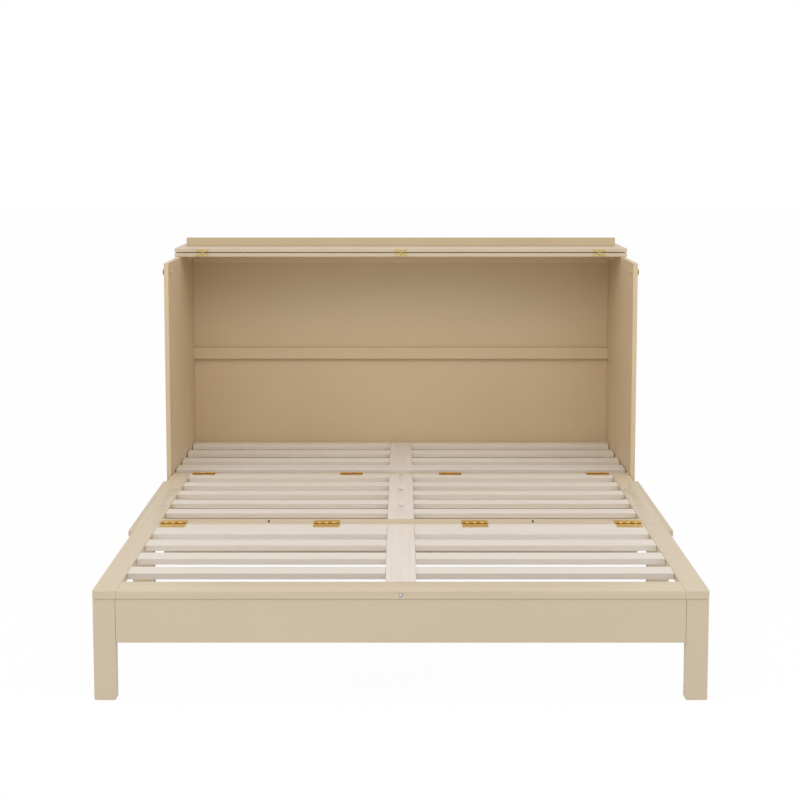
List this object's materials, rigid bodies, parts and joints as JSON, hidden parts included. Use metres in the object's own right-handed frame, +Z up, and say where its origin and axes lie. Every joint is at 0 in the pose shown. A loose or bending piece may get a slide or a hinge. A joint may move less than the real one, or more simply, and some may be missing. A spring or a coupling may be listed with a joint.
{
  "type": "wall bed",
  "caption": "Queen-size wall bed: a low cabinet with a folding lid holds a slatted deck whose middle and foot sections fold up into it.",
  "frame": {"origin": "on the floor, under the middle of the object's box, with the bed open", "axes": "+X across the bed to the right as seen from the foot end, +Y from the foot end to the wall, +Z up"},
  "size_m": [1.62, 2.047, 1.069],
  "materials": {
    "paint": "satin beige paint on board",
    "pale_wood": "whitewashed pine, matt",
    "brass": "satin brass"
  },
  "bodies": {
    "cabinet": {"cabinet_side_left": "paint", "cabinet_side_right": "paint", "back_panel": "paint", "back_middle_rail": "paint", "kick_board": "paint", "lid_support_frame": "paint", "rear_bearers": "paint", "rear_deck": "pale_wood", "lid_fixed_board": "paint", "rear_fold_hinge_fixed_leaf_1": "brass", "rear_fold_hinge_fixed_leaf_2": "brass", "rear_fold_hinge_fixed_leaf_3": "brass", "rear_fold_hinge_fixed_leaf_4": "brass", "lid_hinge_fixed_leaf_1": "brass", "lid_hinge_fixed_leaf_2": "brass", "lid_hinge_fixed_leaf_3": "brass"},
    "lid_leaf": {"lid_front_leaf": "paint", "lid_rail": "paint", "lid_hinge_moving_leaf_1": "brass", "lid_hinge_moving_leaf_2": "brass", "lid_hinge_moving_leaf_3": "brass"},
    "middle_section": {"middle_side_rail_left": "paint", "middle_side_rail_right": "paint", "middle_end_rail": "paint", "middle_slat_1": "pale_wood", "middle_slat_2": "pale_wood", "middle_slat_3": "pale_wood", "middle_slat_4": "pale_wood", "middle_slat_5": "pale_wood", "middle_centre_board": "pale_wood", "front_panel": "paint", "panel_stiffener": "paint", "rear_fold_hinge_moving_leaf_1": "brass", "rear_fold_hinge_moving_leaf_2": "brass", "rear_fold_hinge_moving_leaf_3": "brass", "rear_fold_hinge_moving_leaf_4": "brass", "foot_fold_hinge_middle_leaf_1": "brass", "foot_fold_hinge_middle_leaf_2": "brass", "foot_fold_hinge_middle_leaf_3": "brass", "foot_fold_hinge_middle_leaf_4": "brass"},
    "left_middle_leg": {"middle_leg_left": "paint"},
    "right_middle_leg": {"middle_leg_right": "paint"},
    "foot_section": {"foot_side_rail_left": "paint", "foot_side_rail_right": "paint", "foot_end_rail": "paint", "foot_slat_1": "pale_wood", "foot_slat_2": "pale_wood", "foot_slat_3": "pale_wood", "foot_slat_4": "pale_wood", "foot_centre_board": "pale_wood", "foot_fold_hinge_foot_leaf_1": "brass", "foot_fold_hinge_foot_leaf_2": "brass", "foot_fold_hinge_foot_leaf_3": "brass", "foot_fold_hinge_foot_leaf_4": "brass"},
    "foot_leg_frame": {"foot_leg_left": "paint", "foot_leg_right": "paint", "foot_apron": "paint"},
    "left_lock": {"lock_pin_left": "brass"},
    "right_lock": {"lock_pin_right": "brass"}
  },
  "joints": [
    {"name": "lid_fold", "type": "hinge", "parent": "cabinet", "child": "lid_leaf", "pos_m": [0, 0.6785, 1.0235], "axis": [1, 0, 0], "range_deg": [0, 180]},
    {"name": "rear_fold", "type": "hinge", "parent": "cabinet", "child": "middle_section", "pos_m": [0, 0.3975, 0.288], "axis": [-1, 0, 0], "range_deg": [0, 90]},
    {"name": "foot_fold", "type": "hinge", "parent": "middle_section", "child": "foot_section", "pos_m": [0, -0.3175, 0.288], "axis": [-1, 0, 0], "range_deg": [0, 180]},
    {"name": "foot_leg_fold", "type": "hinge", "parent": "foot_section", "child": "foot_leg_frame", "pos_m": [0, -0.9905, 0.261], "axis": [1, 0, 0], "range_deg": [0, 90]},
    {"name": "left_leg_fold", "type": "hinge", "parent": "middle_section", "child": "left_middle_leg", "pos_m": [-0.7675, -0.2865, 0.24275], "axis": [1, 0, 0], "range_deg": [0, 90]},
    {"name": "right_leg_fold", "type": "hinge", "parent": "middle_section", "child": "right_middle_leg", "pos_m": [0.7675, -0.2865, 0.24275], "axis": [1, 0, 0], "range_deg": [0, 90]},
    {"name": "left_lock_slide", "type": "slide", "parent": "cabinet", "child": "left_lock", "axis": [-1, 0, 0], "range_m": [0, 0.01]},
    {"name": "right_lock_slide", "type": "slide", "parent": "cabinet", "child": "right_lock", "axis": [1, 0, 0], "range_m": [0, 0.01]}
  ]
}
